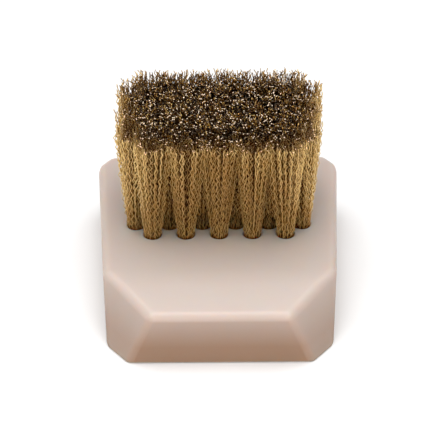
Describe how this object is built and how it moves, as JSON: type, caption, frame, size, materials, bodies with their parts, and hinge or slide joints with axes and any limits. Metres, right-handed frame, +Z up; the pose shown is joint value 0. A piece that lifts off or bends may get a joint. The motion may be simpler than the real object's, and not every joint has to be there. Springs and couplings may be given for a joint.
{
  "type": "tip cleaning brass brush",
  "caption": "Soldering tip cleaning brush: staggered tufts of crimped brass wire on a moulded nylon block with a sloping front ledge and cut corners.",
  "frame": {"origin": "middle of the block's flat underside, which rests on the bench", "axes": "+X to the user's right along the tuft rows, +Y from the sloping front ledge to the back, +Z up along the tufts"},
  "size_m": [0.0368, 0.0406, 0.0277],
  "materials": {
    "block_nylon": "satin, slightly translucent natural nylon",
    "brass_wire": "bright drawn and crimped wire, a little tarnished"
  },
  "bodies": {
    "root": {"block": "block_nylon", "tuft_row1_1": "brass_wire", "tuft_row1_2": "brass_wire", "tuft_row1_3": "brass_wire", "tuft_row1_4": "brass_wire", "tuft_row1_5": "brass_wire", "tuft_row2_1": "brass_wire", "tuft_row2_2": "brass_wire", "tuft_row2_3": "brass_wire", "tuft_row2_4": "brass_wire", "tuft_row2_5": "brass_wire", "tuft_row2_6": "brass_wire", "tuft_row3_1": "brass_wire", "tuft_row3_2": "brass_wire", "tuft_row3_3": "brass_wire", "tuft_row3_4": "brass_wire", "tuft_row3_5": "brass_wire", "tuft_row4_1": "brass_wire", "tuft_row4_2": "brass_wire", "tuft_row4_3": "brass_wire", "tuft_row4_4": "brass_wire", "tuft_row4_5": "brass_wire", "tuft_row4_6": "brass_wire", "tuft_row5_1": "brass_wire", "tuft_row5_2": "brass_wire", "tuft_row5_3": "brass_wire", "tuft_row5_4": "brass_wire", "tuft_row5_5": "brass_wire", "tuft_row6_1": "brass_wire", "tuft_row6_2": "brass_wire", "tuft_row6_3": "brass_wire", "tuft_row6_4": "brass_wire", "tuft_row6_5": "brass_wire", "tuft_row6_6": "brass_wire", "tuft_row7_1": "brass_wire", "tuft_row7_2": "brass_wire", "tuft_row7_3": "brass_wire", "tuft_row7_4": "brass_wire", "tuft_row7_5": "brass_wire"}
  },
  "joints": []
}
